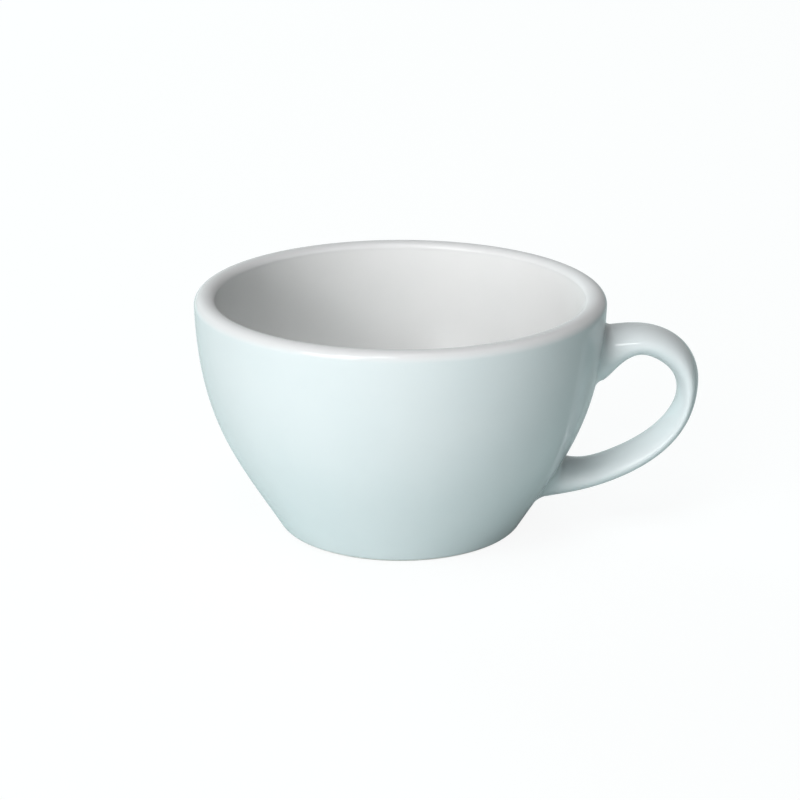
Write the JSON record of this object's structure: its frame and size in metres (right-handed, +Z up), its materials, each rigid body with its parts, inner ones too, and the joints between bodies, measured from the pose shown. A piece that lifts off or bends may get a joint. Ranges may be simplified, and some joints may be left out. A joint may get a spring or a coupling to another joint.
{
  "type": "cappuccino cup",
  "caption": "Wide low porcelain cup with a rounded lip, a tapering bowl on a foot ring and a loop handle, blue glaze outside and white glaze inside.",
  "frame": {"origin": "on the table under the middle of the cup's overall length and width, so the bowl's axis is 12.0 mm towards -X", "axes": "+X from the bowl towards the handle, +Z up, +Y to complete a right-handed frame"},
  "size_m": [0.129, 0.105, 0.0623],
  "materials": {
    "porcelain": "unglazed, fine and matt",
    "slip": "unglazed, fine and matt",
    "white_glaze": "gloss",
    "blue_glaze": "gloss"
  },
  "bodies": {
    "root": {"bowl": "porcelain", "handle": "porcelain", "upper_slip_joint": "slip", "lower_slip_joint": "slip", "lining_glaze": "white_glaze", "outer_glaze": "blue_glaze", "handle_glaze": "blue_glaze", "base_glaze": "blue_glaze"}
  },
  "joints": []
}
